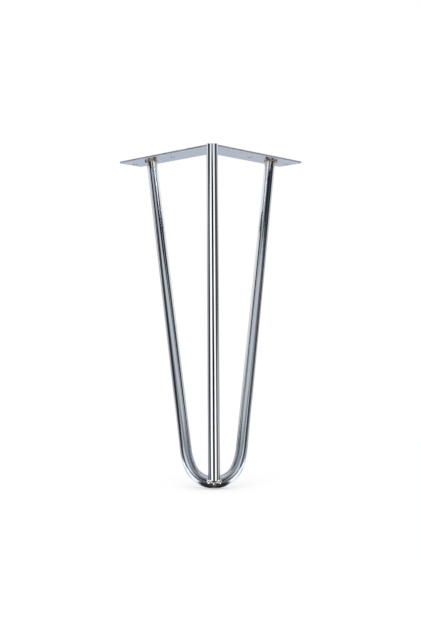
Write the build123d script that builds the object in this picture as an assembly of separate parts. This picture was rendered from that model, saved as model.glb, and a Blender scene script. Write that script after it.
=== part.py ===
"""Three-rod hairpin furniture leg, welded from round rod and flat plate.

An L-shaped plate is screwed under a corner of the furniture. A round rod bent to a hairpin is welded
under the two arms, and a straight centre rod is welded into the outer corner of the plate and onto the
front of the bend, which is the foot.

Frame, in millimetres: +Z up, the top face of the plate is Z = 0, the centre lines of the two arms cross
at the origin, and the outer corner of the plate points along -Y. The leg is its own mirror image in X = 0,
apart from the shape of the weld beads.
"""

import os
from math import acos, atan2, cos, degrees, hypot, radians, sin, sqrt

from build123d import *

# Plate
arm_length = 150.0  # sharp outer corner to tip, along the outer edge
arm_width = 33.0
plate_thickness = 2.5
inner_corner_radius = 3.0
plate_edge_break = 0.3

# Screw holes, on the centre line of each arm
screw_hole_diameter = 5.5
outer_hole_from_tip = 8.0
inner_hole_from_rod = 35.0

# Rods
rod_diameter = 12.0
hairpin_end_from_tip = 37.0

# Foot, the lowest part of the bend
leg_height = 354.0  # top face of the plate to the lowest point of the bend
foot_reach = 60.0  # centre line of the bend in front of the sharp outer corner
nose_radius = 25.0  # centre line of the tight arc at the foot
nose_half_angle = 67.0  # turn of that arc either side of the lowest point
flank_radius = 70.0  # centre line of the slack arcs that run into the straight legs

# Centre rod
centre_rod_setback = 2.8  # axis in front of the sharp outer corner, at the top face
centre_rod_over_bend = 4.5  # axis in front of the centre line of the bend, at the foot
centre_rod_recess = 2.0  # end face below the top face, so that the plate lies flat on the wood
seat_clearance = 0.1  # between the centre rod and its seat in the plate

# Weld beads
hairpin_bead_radius = 1.2
left_stop_radius = 1.8  # lump where the left run stopped, on its outer side
right_stop_radius = 2.6  # lump where the right run stopped, on its outer side
corner_tack_radius = 2.4
foot_drop_radius = 2.5
foot_flare_radius = 1.7
foot_weld_half_width = 6.6

rod_radius = rod_diameter / 2
corner_y = -arm_width / sqrt(2)  # the sharp outer corner
hairpin_end_at = arm_length - arm_width / 2 - hairpin_end_from_tip
foot_point = Vector(0, corner_y - foot_reach, rod_radius - leg_height)
underside = Plane.XY.offset(-plate_thickness)


def on_arm(distance: float, side: int) -> Vector:
    """Point on the centre line of an arm, in the top face; side is 1 for right and -1 for left."""
    return Vector(side * distance / sqrt(2), distance / sqrt(2), 0)


def hairpin_plane() -> Plane:
    """Plane of the hairpin: origin at the foot, x across the leg, y up to the two ends."""
    ends_middle = on_arm(hairpin_end_at, 1)
    up = Vector(0, ends_middle.Y, -plate_thickness) - foot_point
    return Plane(origin=foot_point, x_dir=(1, 0, 0), z_dir=Vector(1, 0, 0).cross(up))


def centre_axis() -> tuple[Vector, Vector]:
    """Top and foot of the centre rod's axis, at the top face and in front of the bend."""
    top = Vector(0, corner_y - centre_rod_setback, 0)
    return top, foot_point + hairpin_plane().z_dir * centre_rod_over_bend


def arm_outline() -> Face:
    """Both arms as one flat L with square-cut ends and a rounded inner corner."""
    middle = (arm_length - arm_width) / 2
    arms = [
        Rot(Z=90 - side * 45) * Pos(X=middle) * Rectangle(arm_length, arm_width)
        for side in (-1, 1)
    ]
    outline = arms[0] + arms[1]
    inner_corner = outline.vertices().filter_by_position(Axis.X, -0.01, 0.01).sort_by(Axis.Y)[-1]
    return fillet(inner_corner, inner_corner_radius).face()


def make_top_plate() -> Part:
    """L plate with broken edges, four plain screw holes and a seat for the centre rod."""
    blank = extrude(arm_outline(), amount=-plate_thickness)
    rims = blank.faces().sort_by(Axis.Z)
    blank = chamfer([*rims[0].edges(), *rims[-1].edges()], plate_edge_break)
    outer_hole_at = arm_length - arm_width / 2 - outer_hole_from_tip
    hole_centres = [
        on_arm(distance, side)
        for distance in (hairpin_end_at - inner_hole_from_rod, outer_hole_at)
        for side in (-1, 1)
    ]
    drill = Cylinder(screw_hole_diameter / 2, 4 * plate_thickness)
    return blank - [Pos(centre) * drill for centre in hole_centres] - centre_bar(seat_clearance)


def hairpin_path() -> Wire:
    """Centre line of the hairpin: a nose arc, two slack flanks and two straight legs, all tangent."""
    plane = hairpin_plane()
    change = radians(90 - nose_half_angle)
    flank_shift = flank_radius - nose_radius
    flank_centre = Vector(-flank_shift * cos(change), nose_radius + flank_shift * sin(change))
    end = plane.to_local_coords(on_arm(hairpin_end_at, 1) - (0, 0, plate_thickness))
    to_end = end - flank_centre
    lean = acos(flank_radius / hypot(to_end.X, to_end.Y)) - atan2(to_end.Y, to_end.X)

    nose = CenterArc((0, nose_radius), nose_radius, 270 - nose_half_angle, 2 * nose_half_angle)
    turn = degrees(change - lean)
    right_flank = CenterArc((flank_centre.X, flank_centre.Y), flank_radius, -degrees(change), turn)
    tangent_point = right_flank @ 1
    overrun = Vector(sin(lean), cos(lean)) * rod_diameter
    right_leg = Line(tangent_point, Vector(end.X, end.Y) + overrun)
    right = [right_flank, right_leg]
    left = [mirror(edge, Plane.YZ) for edge in right]
    return plane * Wire([nose, *[edge.edge() for edge in right + left]])


def make_hairpin_rod() -> Part:
    """Round rod swept along the hairpin, both ends cut to the underside of the plate."""
    path = hairpin_path()
    section = Plane(origin=path @ 0, z_dir=path % 0) * Circle(rod_radius)
    return split(sweep(section, path=path), bisect_by=underside, keep=Keep.BOTTOM)


def centre_bar(clearance: float = 0.0) -> Part:
    """Uncut bar along the centre rod's axis, from above the plate down to the foot."""
    top, foot = centre_axis()
    down = (foot - top).normalized()
    start = top - down * rod_diameter
    end_section = Plane(origin=start, z_dir=down) * Circle(rod_radius + clearance)
    return extrude(end_section, amount=(foot - start).length)


def make_centre_rod(hairpin: Part) -> Part:
    """Straight rod, cut level just below the top of the plate and coped over the bend."""
    level_cut = Plane.XY.offset(-centre_rod_recess)
    return split(centre_bar(), bisect_by=level_cut, keep=Keep.BOTTOM) - hairpin


def make_hairpin_weld(hairpin: Part, side: int, stop_angle: float, stop_radius: float) -> Part:
    """Fillet weld run round one end of the hairpin, with a lump of metal where the run stopped."""
    end_face = hairpin.faces().sort_by(Axis.Z)[-2:].sort_by(Axis.X)[0 if side < 0 else -1]
    seam = end_face.outer_wire()
    run = sweep(Plane(origin=seam @ 0, z_dir=seam % 0) * Circle(hairpin_bead_radius), path=seam)
    outward = Vector(rod_radius + hairpin_bead_radius / 3, 0).rotate(Axis.Z, stop_angle)
    stop = end_face.center() + outward - Vector(0, 0, stop_radius / 2)
    lump = Pos(stop) * Sphere(stop_radius)
    halves = [split(piece, bisect_by=underside, keep=Keep.BOTTOM) - hairpin for piece in (run, lump)]
    return halves[0] + halves[1]


def groove_point(z: float, side: int) -> Vector:
    """Centre of a corner tack: half its radius off both the plate's edge and the centre rod."""
    top, foot = centre_axis()
    axis_y = top.Y + (foot.Y - top.Y) * z / foot.Z
    gap = corner_tack_radius / 2
    reach = rod_radius + gap
    offset = gap * sqrt(2) + axis_y - corner_y
    x = (offset + sqrt(2 * reach**2 - offset**2)) / 2
    return Vector(side * x, x + corner_y - gap * sqrt(2), z)


def make_corner_weld(plate: Part, centre_rod: Part, side: int) -> Part:
    """Tack weld in the groove between the plate's outer edge and the centre rod."""
    tack = Pos(groove_point(-centre_rod_recess, side)) * Sphere(corner_tack_radius)
    return split(tack, bisect_by=Plane.XY, keep=Keep.BOTTOM) - plate - centre_rod


def on_nose(across: float, angle: float) -> Vector:
    """Point on the skin of the bend: distance across the leg, and degrees down from its front line."""
    side_step = across / nose_radius
    drop = Vector(side_step, -sqrt(1 - side_step**2), 0)
    skin = drop * rod_radius * sin(radians(angle)) + Vector(0, 0, rod_radius * cos(radians(angle)))
    return hairpin_plane().from_local_coords(Vector(0, nose_radius, 0) + drop * nose_radius + skin)


def make_foot_weld(hairpin: Part, centre_rod: Part) -> Part:
    """Weld under the cut end of the centre rod: a row of drops along the end, two below, two flares."""
    upper_row = [(-0.7, 0), (0, 0), (0.7, 0)]
    lower_row = [(-0.3, 40), (0.4, 42)]
    flares = [(-0.96, -20), (0.96, -20)]
    drops = [
        Pos(on_nose(foot_weld_half_width * step, angle)) * Sphere(radius)
        for row, radius in (
            (upper_row, foot_drop_radius),
            (lower_row, foot_drop_radius),
            (flares, foot_flare_radius),
        )
        for step, angle in row
    ]
    return drops[0].fuse(*drops[1:]) - hairpin - centre_rod


def main() -> None:
    """Build every piece of the leg and write one file for each."""
    plate = make_top_plate()
    hairpin = make_hairpin_rod()
    centre_rod = make_centre_rod(hairpin)
    pieces = {
        "top_plate": plate,
        "hairpin_rod": hairpin,
        "centre_rod": centre_rod,
        "weld_left": make_hairpin_weld(hairpin, -1, 190, left_stop_radius),
        "weld_right": make_hairpin_weld(hairpin, 1, -10, right_stop_radius),
        "corner_weld_left": make_corner_weld(plate, centre_rod, -1),
        "corner_weld_right": make_corner_weld(plate, centre_rod, 1),
        "foot_weld": make_foot_weld(hairpin, centre_rod),
    }
    os.makedirs("parts", exist_ok=True)
    for name, piece in pieces.items():
        export_step(piece, f"parts/{name}.step")


main()
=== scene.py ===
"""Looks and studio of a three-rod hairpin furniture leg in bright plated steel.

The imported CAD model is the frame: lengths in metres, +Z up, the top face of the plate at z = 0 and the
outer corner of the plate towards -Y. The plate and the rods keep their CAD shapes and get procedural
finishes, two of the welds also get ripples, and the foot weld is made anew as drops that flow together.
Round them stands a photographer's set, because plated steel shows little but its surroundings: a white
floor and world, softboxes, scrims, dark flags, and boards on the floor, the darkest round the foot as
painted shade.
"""

import logging
from dataclasses import dataclass, replace
from enum import Enum
from math import cos, pi, radians, sin, tan

import bmesh
import bpy
from mathutils import Matrix, Vector


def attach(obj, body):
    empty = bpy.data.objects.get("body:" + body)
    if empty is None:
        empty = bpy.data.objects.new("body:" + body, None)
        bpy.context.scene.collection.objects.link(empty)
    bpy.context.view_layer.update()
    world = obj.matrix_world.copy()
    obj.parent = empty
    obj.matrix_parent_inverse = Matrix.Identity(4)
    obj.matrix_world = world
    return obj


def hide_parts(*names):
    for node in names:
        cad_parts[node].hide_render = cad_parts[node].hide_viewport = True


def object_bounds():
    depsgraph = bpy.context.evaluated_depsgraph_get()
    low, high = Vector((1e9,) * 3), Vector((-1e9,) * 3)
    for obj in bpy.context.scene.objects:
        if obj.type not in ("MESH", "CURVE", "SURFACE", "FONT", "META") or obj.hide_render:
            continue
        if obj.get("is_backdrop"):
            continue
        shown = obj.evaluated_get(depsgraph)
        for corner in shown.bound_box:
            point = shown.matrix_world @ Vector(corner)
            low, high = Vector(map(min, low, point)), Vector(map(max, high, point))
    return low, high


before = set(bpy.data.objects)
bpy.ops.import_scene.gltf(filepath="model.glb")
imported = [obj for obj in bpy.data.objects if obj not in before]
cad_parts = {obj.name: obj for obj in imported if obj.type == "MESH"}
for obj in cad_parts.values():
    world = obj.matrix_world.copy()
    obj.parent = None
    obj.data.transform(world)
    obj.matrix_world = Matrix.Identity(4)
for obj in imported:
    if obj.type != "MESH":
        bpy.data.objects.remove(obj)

MM = 0.001
log = logging.getLogger("hairpin_leg")

NodeValue = bpy.types.NodeSocket | float | tuple


class MetBy(Enum):
    """Which rays meet an object of the set."""

    EVERY_RAY = "every ray"
    REFLECTIONS = "reflections"


def linear(hex_colour: str) -> tuple[float, float, float, float]:
    """Turn an sRGB hex colour into Blender's linear one.

    Args:
        hex_colour: Colour as "#RRGGBB".

    Returns:
        Red, green, blue and an alpha of 1.
    """
    parts = [int(hex_colour[at : at + 2], 16) / 255 for at in (1, 3, 5)]
    red, green, blue = (c / 12.92 if c <= 0.04045 else ((c + 0.055) / 1.055) ** 2.4 for c in parts)
    return red, green, blue, 1.0


def add_node(
    tree: bpy.types.NodeTree,
    kind: str,
    inputs: dict[str | int, NodeValue] | None = None,
    **settings: object,
) -> bpy.types.Node:
    """Add one node with its settings, values and incoming links.

    Args:
        tree: Node tree that gets the node.
        kind: Blender's name for the kind of node.
        inputs: A value or a feeding socket for each input, by name or number.
        settings: Attributes of the node itself.

    Returns:
        The new node.
    """
    node = tree.nodes.new(kind)
    for name, setting in settings.items():
        setattr(node, name, setting)
    for name, value in (inputs or {}).items():
        if isinstance(value, bpy.types.NodeSocket):
            tree.links.new(value, node.inputs[name])
        else:
            node.inputs[name].default_value = value
    return node


def start_material(name: str) -> bpy.types.Material:
    """Start a node material that has no nodes yet.

    Args:
        name: The real material and how its surface was made.

    Returns:
        The empty material.
    """
    material = bpy.data.materials.new(name)
    material.use_nodes = True
    material.node_tree.nodes.clear()
    return material


def fill_ramp(ramp: bpy.types.ColorRamp, stops: list[tuple[float, str]]) -> None:
    """Give a colour ramp its stops.

    Args:
        ramp: The ramp to fill.
        stops: Position from 0 to 1 and sRGB hex colour of each stop.
    """
    while len(ramp.elements) < len(stops):
        ramp.elements.new(1.0)
    for element, (position, colour) in zip(ramp.elements, stops, strict=True):
        element.position = position
        element.color = linear(colour)


def noise(
    tree: bpy.types.NodeTree, place: bpy.types.NodeSocket, size: float, **values: float
) -> bpy.types.NodeSocket:
    """Add uneven noise with patches of one size.

    Args:
        tree: Node tree of the finish.
        place: Socket with the point's place.
        size: Size of a patch, in the unit of the place.
        values: Values for the other inputs of the noise.

    Returns:
        Socket with the noise, from 0 to 1.
    """
    inputs = {"Vector": place, "Scale": 1 / size, **values}
    return add_node(tree, "ShaderNodeTexNoise", inputs).outputs["Fac"]


def work_out(tree: bpy.types.NodeTree, operation: str, *values: NodeValue) -> bpy.types.NodeSocket:
    """Work out one value from others.

    Args:
        tree: Node tree of the finish.
        operation: Blender's name for the sum.
        values: A value or a feeding socket for each input.

    Returns:
        Socket with the result.
    """
    return add_node(tree, "ShaderNodeMath", dict(enumerate(values)), operation=operation).outputs[0]


def map_range(
    tree: bpy.types.NodeTree,
    value: bpy.types.NodeSocket,
    start: tuple[float, float],
    end: tuple[float, float] = (0.0, 1.0),
) -> bpy.types.NodeSocket:
    """Map a value from one range to another, and hold it inside the second.

    Args:
        tree: Node tree of the finish.
        value: Socket with the value.
        start: Range that the value comes from.
        end: Range that it is mapped to.

    Returns:
        Socket with the mapped value.
    """
    ranges = {"From Min": start[0], "From Max": start[1], "To Min": end[0], "To Max": end[1]}
    return add_node(tree, "ShaderNodeMapRange", {"Value": value, **ranges}).outputs["Result"]


def finish_metal(
    tree: bpy.types.NodeTree,
    colour: bpy.types.NodeSocket,
    roughness: bpy.types.NodeSocket,
    relief: bpy.types.NodeSocket,
    depth: float,
) -> None:
    """Close a finish with bare metal that has a fine relief.

    Args:
        tree: Node tree of the finish.
        colour: Socket with the colour of the metal.
        roughness: Socket with its roughness.
        relief: Socket with the height of the relief, from 0 to 1.
        depth: Height that a relief of 1 stands for.
    """
    bump = add_node(tree, "ShaderNodeBump", {"Height": relief, "Distance": depth, "Strength": 1.0})
    skin = {"Base Color": colour, "Roughness": roughness, "Normal": bump.outputs["Normal"]}
    shader = add_node(tree, "ShaderNodeBsdfPrincipled", {"Metallic": 1.0, **skin})
    add_node(tree, "ShaderNodeOutputMaterial", {"Surface": shader.outputs[0]})


@dataclass(frozen=True)
class BrightPlatedRod:
    """Bright nickel-chrome plate over drawn and polished round steel.

    To the eye it is a mirror that draws every light out into long lines down the rod. The lines waver a
    little, because the drawn bar under the plate isn't perfectly true, and close to a weld the plate has
    a straw tint from the heat.
    """

    heated: tuple[tuple[float, float, float], ...]  # places of the welds whose heat tinted it
    name: str = "bright plate on drawn and polished round steel"
    plated: str = "#C6C9CC"
    straw: str = "#C9BFA8"
    bronze: str = "#A89A84"
    roughness: float = 0.02
    dulling: float = 2.2  # times that roughness, where the specks are thickest
    wave_across: float = 6 * MM
    wave_along: float = 34 * MM
    wave_depth: float = 0.03 * MM
    speck: float = 0.7 * MM  # real polishing specks are finer; this is the finest that shows
    speck_band: tuple[float, float] = (0.35, 0.75)  # noise where specks begin and where they are thickest
    patch: float = 5 * MM  # size of the noise that makes the edge of the tint uneven
    patch_depth: float = 6 * MM  # what that noise adds to the distance from a weld at most
    tint_reach: tuple[float, float] = (7 * MM, 16 * MM)  # that distance where the tint is full and gone
    straw_at: float = 0.3  # share of the way between them where bronze has turned to straw
    bend_top: float = -285 * MM  # below this height the rod was bent, which leaves its skin less smooth
    bend_middle: float = -325 * MM  # below this height the two values of the bend hold in full
    bend_roughness: float = 0.0
    painted_bend_shade: str = "#FFFFFF"  # painted shade: multiplies the plate's colour in the bend, which makes it darker and bluer there

    def heat_distance(
        self, tree: bpy.types.NodeTree, place: bpy.types.NodeSocket
    ) -> bpy.types.NodeSocket:
        """Measure how far each point is from the nearest weld.

        Args:
            tree: Node tree of the finish.
            place: Socket with the point's place.

        Returns:
            Socket with the distance.
        """
        nearest = None
        for spot in self.heated:
            away = add_node(tree, "ShaderNodeVectorMath", {0: place, 1: spot}, operation="DISTANCE")
            distance = away.outputs["Value"]
            nearest = distance if nearest is None else work_out(tree, "MINIMUM", nearest, distance)
        return nearest

    def material(self) -> bpy.types.Material:
        """Build the finish.

        Returns:
            The node material.
        """
        material = start_material(self.name)
        tree = material.node_tree
        place = add_node(tree, "ShaderNodeTexCoord").outputs["Object"]
        waves = (1 / self.wave_across, 1 / self.wave_across, 1 / self.wave_along)
        stretched = add_node(tree, "ShaderNodeMapping", {"Vector": place, "Scale": waves})
        waver = noise(tree, stretched.outputs["Vector"], 1.0, Detail=2.0)
        specks = noise(tree, place, self.speck, Detail=3.0)
        patches = noise(tree, place, self.patch)
        uneven = work_out(
            tree, "MULTIPLY_ADD", patches, self.patch_depth, self.heat_distance(tree, place)
        )
        heat = map_range(tree, uneven, self.tint_reach)
        tint = add_node(tree, "ShaderNodeValToRGB", {"Fac": heat})
        fill_ramp(tint.color_ramp, [(0.0, self.bronze), (self.straw_at, self.straw), (1.0, self.plated)])
        gloss = map_range(tree, specks, self.speck_band, (self.roughness, self.roughness * self.dulling))
        height = add_node(tree, "ShaderNodeSeparateXYZ", {0: place}).outputs["Z"]
        bent = map_range(tree, height, (self.bend_top, self.bend_middle))
        roughness = work_out(tree, "MULTIPLY_ADD", bent, self.bend_roughness, gloss)
        # in the bend the colour is multiplied by painted shade
        colour = add_node(
            tree,
            "ShaderNodeMixRGB",
            {0: bent, 1: tint.outputs["Color"], 2: linear(self.painted_bend_shade)},
            blend_type="MULTIPLY",
        )
        finish_metal(tree, colour.outputs[0], roughness, waver, self.wave_depth)
        return material


@dataclass(frozen=True)
class SatinPlatedSheet:
    """Plate over rolled steel strip that was cut and left unpolished.

    To the eye it is a softened mirror: the rods still show in it, but the rolled skin under the plate
    gives it faint clouds and a cooler, greyer colour than the rods.
    """

    name: str = "bright plate on rolled steel strip"
    plated: str = "#DADEE6"
    # painted shade: the darker colour of the faces round the plate's sides
    clouded: str = "#C9CED8"
    cut: str = "#D2D6DE"
    roughness: tuple[float, float] = (0.10, 0.22)
    cloud: float = 7 * MM
    tone_band: tuple[float, float] = (0.35, 0.7)  # noise where a cloud's colour starts and is full
    gloss_band: tuple[float, float] = (0.3, 0.7)  # the same for its roughness
    grain: float = 0.9 * MM  # the rolled grain, drawn as coarse as the render can show
    grain_depth: float = 0.004 * MM
    cut_roughness: float = 0.2  # what the sheared edges and drilled holes have on top of the skin's
    level_limit: float = 0.8  # Z of the normal, up or down, below which a face was cut and not rolled

    def material(self) -> bpy.types.Material:
        """Build the finish.

        Returns:
            The node material.
        """
        material = start_material(self.name)
        tree = material.node_tree
        point = add_node(tree, "ShaderNodeTexCoord").outputs
        clouds = noise(tree, point["Object"], self.cloud, Detail=4.0)
        grain = noise(tree, point["Object"], self.grain, Detail=2.0)
        rolled = add_node(tree, "ShaderNodeValToRGB", {"Fac": clouds})
        clear, full = self.tone_band
        fill_ramp(rolled.color_ramp, [(clear, self.plated), (full, self.clouded)])
        gloss = map_range(tree, clouds, self.gloss_band, self.roughness)
        upright = add_node(tree, "ShaderNodeSeparateXYZ", {0: point["Normal"]}).outputs["Z"]
        edge = work_out(tree, "LESS_THAN", work_out(tree, "ABSOLUTE", upright), self.level_limit)
        roughness = work_out(tree, "MULTIPLY_ADD", edge, self.cut_roughness, gloss)
        # the cut faces' extra roughness is their real finish; their darker colour is painted shade
        colour = add_node(
            tree, "ShaderNodeMixRGB", {0: edge, 1: rolled.outputs["Color"], 2: linear(self.cut)}
        )
        finish_metal(tree, colour.outputs[0], roughness, grain, self.grain_depth)
        return material


@dataclass(frozen=True)
class PlatedWeldBead:
    """Weld metal as it froze, plated with the rest.

    To the eye it sparkles: the ripples and spatter under the plate break each light into points, with
    near black between them and brown where scale was left under the plate.
    """

    name: str = "bright plate on rippled weld metal"
    # painted shade: plated and scale are darker here than on the same weld metal at the foot, so these
    # beads read dark; the patches of brown scale are the weld's own
    plated: str = "#B0ADA6"
    scale: str = "#695C4F"
    roughness: tuple[float, float] = (0.10, 0.34)
    ripple: float = 1.1 * MM
    ripple_depth: float = 0.12 * MM
    gloss_band: tuple[float, float] = (0.3, 0.7)  # noise of the ripples at the least and most roughness
    stain: float = 2.0  # size of a patch of scale, in ripples
    stain_band: tuple[float, float] = (0.42, 0.66)  # noise where scale begins and where it is full

    def material(self) -> bpy.types.Material:
        """Build the finish.

        Returns:
            The node material.
        """
        material = start_material(self.name)
        tree = material.node_tree
        place = add_node(tree, "ShaderNodeTexCoord").outputs["Object"]
        ripples = noise(tree, place, self.ripple, Detail=3.0, Distortion=0.6)
        stains = noise(tree, place, self.stain * self.ripple)
        colour = add_node(tree, "ShaderNodeValToRGB", {"Fac": stains})
        clear, full = self.stain_band
        fill_ramp(colour.color_ramp, [(clear, self.plated), (full, self.scale)])
        gloss = map_range(tree, ripples, self.gloss_band, self.roughness)
        finish_metal(tree, colour.outputs["Color"], gloss, ripples, self.ripple_depth)
        return material


@dataclass(frozen=True)
class MattWhitePaper:
    """Seamless background paper, matt and white, which takes a soft shadow and no shine.

    Part of its white is its own glow, seen straight and in the metal, which keeps the shadow faint.
    """

    name: str = "matt white background paper"
    colour: str = "#FFFFFF"
    glow: float = 0.5

    def material(self) -> bpy.types.Material:
        """Build the finish.

        Returns:
            The node material.
        """
        material = start_material(self.name)
        tree = material.node_tree
        white = linear(self.colour)
        paper = add_node(tree, "ShaderNodeBsdfDiffuse", {"Color": white, "Roughness": 0.0})
        glowing = add_node(tree, "ShaderNodeEmission", {"Color": white, "Strength": 1.0})
        rays = add_node(tree, "ShaderNodeLightPath").outputs
        seen = rays["Is Camera Ray"]
        for mirrored in (rays["Is Glossy Ray"], rays["Is Transmission Ray"]):
            seen = work_out(tree, "MAXIMUM", seen, mirrored)
        share = work_out(tree, "MULTIPLY", seen, self.glow)
        mixed = add_node(
            tree, "ShaderNodeMixShader", {0: share, 1: paper.outputs[0], 2: glowing.outputs[0]}
        )
        add_node(tree, "ShaderNodeOutputMaterial", {"Surface": mixed.outputs[0]})
        return material


def dress(node_name: str, material: bpy.types.Material) -> None:
    """Give a CAD node its finish and report it.

    Args:
        node_name: Name of the CAD node.
        material: Finish for all of it.
    """
    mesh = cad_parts[node_name].data
    mesh.materials.clear()
    mesh.materials.append(material)
    log.info("%s: %s", node_name, material.name)


@dataclass
class TopPlate:
    """The L-shaped plate that is screwed under the furniture."""

    node: str = "top_plate"
    finish: SatinPlatedSheet = SatinPlatedSheet()

    def build(self) -> None:
        """Dress the plate."""
        dress(self.node, self.finish.material())


@dataclass
class Rods:
    """The bent hairpin rod and the straight centre rod."""

    hairpin: str = "hairpin_rod"
    centre: str = "centre_rod"
    hairpin_ends: tuple[tuple[float, float, float], ...] = (  # where they are welded to the plate
        (-68.2 * MM, 68.2 * MM, -2.5 * MM),
        (68.2 * MM, 68.2 * MM, -2.5 * MM),
    )
    bend_roughness: float = 0.18
    # painted shade: the darker, bluer plate colour of the hairpin's bend
    painted_bend_shade: str = "#D0D4DA"

    def build(self) -> None:
        """Dress both rods, the hairpin with its welded ends tinted, its bend less smooth and its bend
        darkened with painted shade.
        """
        straight = BrightPlatedRod(heated=self.hairpin_ends)
        bent = replace(
            straight,
            name="bright plate on drawn, polished and bent round steel",
            bend_roughness=self.bend_roughness,
            painted_bend_shade=self.painted_bend_shade,
        )
        dress(self.hairpin, bent.material())
        dress(self.centre, straight.material())


@dataclass
class Welds:
    """The weld beads at the two hairpin ends and at the plate's outer corner."""

    rippled: tuple[str, ...] = ("weld_left", "weld_right")
    tacks: tuple[str, ...] = ("corner_weld_left", "corner_weld_right")
    ripple: float = 1.3 * MM
    ripple_depth: float = 0.35 * MM
    finish: PlatedWeldBead = PlatedWeldBead()

    def freeze_ripples(self, node: str) -> None:
        """Sink uneven ripples into a bead, which leaves it nowhere larger than its solid.

        Args:
            node: Name of the CAD node.
        """
        unevenness = bpy.data.textures.new(f"{node} ripples", "CLOUDS")
        unevenness.noise_scale = self.ripple
        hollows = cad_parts[node].modifiers.new("ripples", "DISPLACE")
        hollows.texture = unevenness
        hollows.texture_coords = "LOCAL"
        hollows.mid_level = 1.0
        hollows.strength = self.ripple_depth

    def build(self) -> None:
        """Dress the beads as they froze under the plate."""
        material = self.finish.material()
        for node in self.rippled:
            self.freeze_ripples(node)
        for node in self.rippled + self.tacks:
            dress(node, material)


@dataclass
class FootWeld:
    """Weld at the foot: an uneven run of drops that flowed together under the end of the centre rod.

    It stands for the CAD solid foot_weld, where that solid is, with the drops flowing into each other.
    """

    node: str = "foot_weld"
    name: str = "foot_weld_drops"
    drops: tuple[tuple[float, float, float, float], ...] = (  # centre and radius
        (-6.1 * MM, -87.9 * MM, -345.9 * MM, 1.6 * MM),
        (-3.4 * MM, -90.1 * MM, -347.3 * MM, 3.2 * MM),
        (0.2 * MM, -89.9 * MM, -349.2 * MM, 2.8 * MM),
        (0.9 * MM, -90.3 * MM, -348.0 * MM, 2.2 * MM),
        (3.8 * MM, -90.1 * MM, -347.4 * MM, 3.1 * MM),
        (6.2 * MM, -87.9 * MM, -346.0 * MM, 1.6 * MM),
    )
    roundness: int = 4  # rounds of subdivision of each drop
    flow: float = 0.25 * MM  # grain of the skin drawn over all the drops
    flowing: int = 5  # rounds of smoothing, which fill the creases between the drops
    fineness: int = 1  # rounds of subdivision of the smoothed skin
    finish: PlatedWeldBead = PlatedWeldBead(
        name="bright plate on smoothed weld drops",
        # painted highlight: plated and scale are lighter here than on the welds at the plate, so the
        # drops' reflections clip white
        plated="#EEEEEA",
        scale="#DAD7D0",
        roughness=(0.06, 0.16),
        ripple=2.6 * MM,
        ripple_depth=0.06 * MM,
    )

    def build(self) -> None:
        """Run the drops together, smooth them and dress them."""
        shape = bmesh.new()
        for *centre, radius in self.drops:
            place = Matrix.Translation(centre)
            bmesh.ops.create_icosphere(shape, subdivisions=self.roundness, radius=radius, matrix=place)
        mesh = bpy.data.meshes.new(self.name)
        shape.to_mesh(mesh)
        shape.free()
        piece = bpy.data.objects.new(self.name, mesh)
        bpy.context.scene.collection.objects.link(piece)
        skin = piece.modifiers.new("skin", "REMESH")
        skin.mode = "VOXEL"
        skin.voxel_size = self.flow
        skin.use_smooth_shade = True
        even = piece.modifiers.new("even", "SMOOTH")
        even.iterations = self.flowing
        fine = piece.modifiers.new("fine", "SUBSURF")
        fine.levels = fine.render_levels = self.fineness
        mesh.materials.append(self.finish.material())
        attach(piece, "root")
        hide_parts(self.node)
        log.info("%s: %s, in place of %s", self.name, self.finish.name, self.node)


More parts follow.
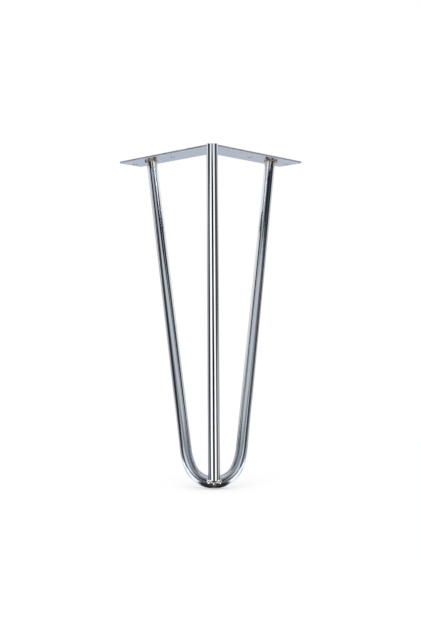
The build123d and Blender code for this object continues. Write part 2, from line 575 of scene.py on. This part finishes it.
@dataclass(frozen=True)
class Card:
    """One sheet of the set that only reflections meet, so it neither lights nor shades the floor.

    Azimuth is measured from the camera's side, towards +X, in degrees. What the span measures depends on
    the kind of card. The sheet fades out at its edges, over the two feathers.
    """

    name: str
    azimuth: tuple[float, float]
    span: tuple[float, float]
    strength: float
    colour: str = "#FFFFFF"
    feather: float = 5.0
    span_feather: float = 4.0
    distance: float = 12.0  # metres from the middle of the leg
    column_step: float = 1.5  # most degrees of azimuth from one column of points to the next
    rows: int = 40

    def place(self, azimuth: float, along: float, leg: "Leg") -> Vector:
        """Find a point of the sheet.

        Args:
            azimuth: Degrees from the camera's side.
            along: Value between the two ends of the span.
            leg: The furniture leg that the set stands round.

        Returns:
            The point in the frame.
        """
        raise NotImplementedError

    def cover(self, azimuth: float, along: float) -> float:
        """Say how solid the sheet is at a point: 0 at its edge, 1 once a feather inside it.

        Args:
            azimuth: Degrees from the camera's side.
            along: Value between the two ends of the span.

        Returns:
            A share from 0 to 1.
        """
        share = 1.0
        for value, (low, high), feather in (
            (azimuth, self.azimuth, self.feather),
            (along, self.span, self.span_feather),
        ):
            inside = min(1.0, max(0.0, min(value - low, high - value) / feather))
            share *= inside * inside * (3 - 2 * inside)  # a curve that starts and ends level
        return share

    def mesh(self, leg: "Leg") -> bpy.types.Mesh:
        """Build the curved sheet.

        Args:
            leg: The furniture leg that the set stands round.

        Returns:
            The mesh, with the cover as a point attribute.
        """
        columns = int((self.azimuth[1] - self.azimuth[0]) / self.column_step) + 2
        points, covers = [], []
        for row in range(self.rows):
            along = self.span[0] + (self.span[1] - self.span[0]) * row / (self.rows - 1)
            for column in range(columns):
                turn = self.azimuth[0] + (self.azimuth[1] - self.azimuth[0]) * column / (columns - 1)
                points.append(self.place(turn, along, leg))
                covers.append(self.cover(turn, along))
        faces = [
            (at, at + 1, at + columns + 1, at + columns)
            for row in range(self.rows - 1)
            for at in range(row * columns, row * columns + columns - 1)
        ]
        mesh = bpy.data.meshes.new(self.name)
        mesh.from_pydata(points, [], faces)
        mesh.attributes.new("cover", "FLOAT", "POINT").data.foreach_set("value", covers)
        return mesh

    def material(self) -> bpy.types.Material:
        """Build lit or dark cloth that fades out at its edges.

        Returns:
            The node material.
        """
        material = start_material(f"{self.name} cloth")
        tree = material.node_tree
        cover = add_node(tree, "ShaderNodeAttribute", attribute_name="cover")
        clear = add_node(tree, "ShaderNodeBsdfTransparent")
        cloth = add_node(
            tree, "ShaderNodeEmission", {"Color": linear(self.colour), "Strength": self.strength}
        )
        mixed = add_node(
            tree,
            "ShaderNodeMixShader",
            {0: cover.outputs["Fac"], 1: clear.outputs[0], 2: cloth.outputs[0]},
        )
        add_node(tree, "ShaderNodeOutputMaterial", {"Surface": mixed.outputs[0]})
        return material


@dataclass(frozen=True)
class Panel(Card):
    """Softbox, scrim or flag that stands round the leg. Its span is elevation in degrees."""

    def place(self, azimuth: float, along: float, leg: "Leg") -> Vector:
        """Find a point of a sphere round the middle of the leg.

        Args:
            azimuth: Degrees from the camera's side.
            along: Elevation in degrees.
            leg: The furniture leg that the set stands round.

        Returns:
            The point in the frame.
        """
        turn, rise = radians(azimuth), radians(along)
        ray = Vector((sin(turn) * cos(rise), -cos(turn) * cos(rise), sin(rise)))
        return leg.middle + ray * self.distance


@dataclass(frozen=True)
class Screen(Panel):
    """Flat upright sheet in front of the leg. Its span is the elevation straight ahead, in degrees."""

    def place(self, azimuth: float, along: float, leg: "Leg") -> Vector:
        """Find a point of an upright plane in front of the leg, as Panel.place does on its sphere."""
        ray = Vector((tan(radians(azimuth)), -1.0, tan(radians(along))))
        return leg.middle + ray * self.distance


@dataclass(frozen=True)
class FloorBoard(Card):
    """Board that lies on the floor.

    Its span is the distance from the foot, and its own distance is its height above the floor.
    """

    distance: float = 0.2 * MM
    span_feather: float = 12 * MM

    def place(self, azimuth: float, along: float, leg: "Leg") -> Vector:
        """Find a point of the floor round the foot, as Panel.place does on its sphere."""
        turn = radians(azimuth)
        return leg.foot + Vector((sin(turn) * along, -cos(turn) * along, self.distance))


def put_on_set(name: str, mesh: bpy.types.Mesh, material: bpy.types.Material, met_by: MetBy) -> None:
    """Stand an object on the set, outside the furniture leg.

    Args:
        name: Name of the object.
        mesh: Its shape.
        material: Its finish.
        met_by: Which rays meet it.
    """
    thing = bpy.data.objects.new(name, mesh)
    mesh.materials.append(material)
    bpy.context.scene.collection.objects.link(thing)
    if met_by is MetBy.REFLECTIONS:
        thing.visible_camera = False
        thing.visible_diffuse = False
        thing.visible_transmission = False
        thing.visible_volume_scatter = False
        thing.visible_shadow = False
    thing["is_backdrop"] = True
    log.info("%s: met by %s", name, met_by.value)


@dataclass
class Studio:
    """White floor and world, one soft lamp, and the cards that the metal mirrors."""

    floor_reach: float = 30.0
    lamp_place: tuple[float, float, float] = (-0.5, -0.5, 2.2)
    lamp_aim: tuple[float, float, float] = (0.0, 0.0, -0.2)
    lamp_size: float = 1.6
    lamp_distance: float = 2.5  # about as far as the lamp is from the leg
    lamp_share: float = 0.06  # watts on a square metre at that distance, if it shone evenly all round
    full_white: float = 1.3  # just enough for bright plate to mirror it as white
    softbox: float = 1.8
    scrim_tone: str = "#E6ECF5"
    shade_tone: str = "#C6D6F2"

    def cards(self) -> tuple[Card, ...]:
        """Set out the cards as they stand in the photograph's reflections.

        Returns:
            The cards, each with its name, azimuth, span and strength first.
        """
        flag = {"strength": 0.07, "colour": self.shade_tone, "feather": 9}
        wall = {"strength": 0.62, "feather": 12, "distance": 13.0}
        rear = {"strength": self.full_white, "feather": 14, "span_feather": 6, "distance": 13.4}
        board = {"strength": 2.4, "feather": 10}
        shade = {"strength": 0.06, "colour": self.shade_tone, "feather": 9, "distance": 0.3 * MM}
        return (
            Panel("left_softbox", (-60, -17), (5, 32), self.softbox, feather=6, span_feather=3),
            Panel("right_softbox", (14, 55), (5, 32), self.softbox, feather=6, span_feather=3),
            Panel("photographer", (-23, 22), (0, 33), 0.01, feather=6, span_feather=3, distance=11.5),
            Panel("left_flag", (-106, -58), (-1.5, 29), **flag, distance=11.0),
            Panel("left_top_flag", (-88, -49), (24, 56), **flag, distance=10.8),
            Panel("left_low_flag", (-80, -45), (23, 36), **flag, distance=10.6),
            Panel("right_flag", (46, 84), (-1.5, 31), **flag, distance=11.0),
            Panel("right_side_flag", (76, 114), (8, 31), **flag, span_feather=2.5, distance=10.9),
            Panel("right_top_flag", (55, 102), (27, 56), **flag, distance=10.8),
            Screen("scrim", (-66, 66), (30, 54.5), 1.0, self.scrim_tone, feather=4, span_feather=2.5),
            Panel(
                "scrim_hem", (-66, 66), (32.5, 41.5), 0.42, self.scrim_tone, span_feather=3, distance=12.6
            ),
            Panel("left_scrim", (-56, -8), (42, 64), 0.75, self.scrim_tone, feather=8, distance=60.0),
            Panel("overhead", (-180, 180), (59, 89), 1.7, span_feather=5, feather=0.1, distance=80.0),
            Panel("canopy", (-62, 64), (38, 70), 0.05, self.shade_tone, feather=9, distance=100.0),
            Panel("left_wall", (-152, -92), (-1.5, 13), **wall),
            Panel("right_wall", (80, 152), (-1.5, 14), **wall),
            Panel("left_rear", (-178, -94), (13, 50), **rear),
            Panel("right_rear", (98, 178), (13, 50), **rear),
            Panel("front_wall", (-62, 62), (-1.5, 9), 0.25, feather=8, distance=13.2),
            FloorBoard("left_board", (-112, -56), (14 * MM, 110 * MM), **board),
            FloorBoard("right_board", (56, 112), (14 * MM, 110 * MM), **board),
            FloorBoard("left_lit_board", (-122, -62), (104 * MM, 226 * MM), 3.8, feather=8),
            FloorBoard("right_lit_board", (62, 122), (104 * MM, 226 * MM), 3.8, feather=8),
            FloorBoard("front_dark_board", (-68, 68), (96 * MM, 260 * MM), **shade),
            FloorBoard("left_dark_board", (-112, -50), (208 * MM, 2.0), **shade),
            FloorBoard("right_dark_board", (50, 112), (208 * MM, 2.0), **shade),
            FloorBoard("front_board", (-64, 64), (14 * MM, 110 * MM), 0.3, feather=10),
            FloorBoard("rear_board", (140, 220), (1.1, 3.4), 0.7, "#E4F1FC"),
            FloorBoard(
                "rear_middle", (171, 189), (1.1, 3.4), 0.646, "#EBF2FF", feather=4, distance=0.3 * MM
            ),
            # painted shade: near-black boards round the foot, met only by reflections, for the shade
            # where the bend meets the floor
            FloorBoard(
                "painted_contact_shade", (-84, 84), (0.0, 25 * MM), 0.05, span_feather=6 * MM, distance=0.4 * MM
            ),
            FloorBoard(
                "painted_rear_contact_shade", (80, 280), (0.0, 17 * MM), 0.04, span_feather=6 * MM, distance=0.5 * MM
            ),
        )

    def lay_floor(self, height: float) -> None:
        """Lay the background paper level with the foot.

        Args:
            height: Level of the lowest point of the leg.
        """
        reach = self.floor_reach
        corners = [(-reach, -reach), (reach, -reach), (reach, reach), (-reach, reach)]
        mesh = bpy.data.meshes.new("floor")
        mesh.from_pydata([(x, y, height) for x, y in corners], [], [(0, 1, 2, 3)])
        put_on_set("floor", mesh, MattWhitePaper().material(), MetBy.EVERY_RAY)

    def light_world(self) -> None:
        """Make the world plain white."""
        world = bpy.data.worlds.new("white studio")
        world.use_nodes = True
        tree = world.node_tree
        tree.nodes.clear()
        white = add_node(tree, "ShaderNodeBackground", {"Color": linear("#FFFFFF"), "Strength": 1.0})
        add_node(tree, "ShaderNodeOutputWorld", {"Surface": white.outputs[0]})
        bpy.context.scene.world = world

    def hang_lamp(self) -> None:
        """Hang one large soft lamp overhead, which gives the shadow its direction."""
        lamp = bpy.data.lights.new("overhead_lamp", "AREA")
        lamp.shape = "DISK"
        lamp.size = self.lamp_size
        lamp.energy = self.lamp_share * 4 * pi * self.lamp_distance**2
        holder = bpy.data.objects.new("overhead_lamp", lamp)
        holder.location = self.lamp_place
        aim = Vector(self.lamp_aim) - holder.location
        holder.rotation_euler = aim.to_track_quat("-Z", "Y").to_euler()
        holder.visible_glossy = False
        bpy.context.scene.collection.objects.link(holder)

    def build(self, leg: "Leg") -> None:
        """Put up the whole set.

        Args:
            leg: The furniture leg that the set stands round.
        """
        self.lay_floor(leg.foot.z)
        self.light_world()
        self.hang_lamp()
        for card in self.cards():
            put_on_set(card.name, card.mesh(leg), card.material(), MetBy.REFLECTIONS)


@dataclass
class PhotoCamera:
    """Camera at the photograph's viewpoint, for an image of 421 by 631."""

    position: tuple[float, float, float] = (-0.01504, -1.02380, -0.20151)
    turn: tuple[float, float, float] = (91.104, 0.180, -0.732)  # degrees about X, Y and Z
    lens: float = 54.21  # mm
    film: float = 36.0  # mm along the long side of the image

    def build(self) -> None:
        """Set the camera up and make it the scene's."""
        camera = bpy.data.cameras.new("photo_camera")
        camera.lens = self.lens
        camera.sensor_width = self.film
        holder = bpy.data.objects.new("photo_camera", camera)
        holder.location = self.position
        holder.rotation_euler = [radians(angle) for angle in self.turn]
        bpy.context.scene.collection.objects.link(holder)
        bpy.context.scene.camera = holder


@dataclass
class Leg:
    """The whole furniture leg, as the set needs it."""

    low: Vector
    high: Vector
    foot_reach: float = 83.3 * MM  # from the origin, towards -Y, to where the bend stands on the floor

    @property
    def middle(self) -> Vector:
        """Middle of the leg's box."""
        return (self.low + self.high) / 2

    @property
    def foot(self) -> Vector:
        """Point where the leg stands on the floor."""
        return Vector((0, -self.foot_reach, self.low.z))

    def build(self) -> None:
        """Dress every piece of the leg."""
        for part in (TopPlate(), Rods(), Welds(), FootWeld()):
            part.build()


def main() -> None:
    """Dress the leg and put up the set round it."""
    logging.basicConfig(level=logging.INFO, format="%(message)s")
    low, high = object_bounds()
    bpy.context.scene.view_settings.view_transform = "Standard"
    PhotoCamera().build()
    leg = Leg(low, high)
    leg.build()
    Studio().build(leg)


if __name__ == "__main__":
    main()
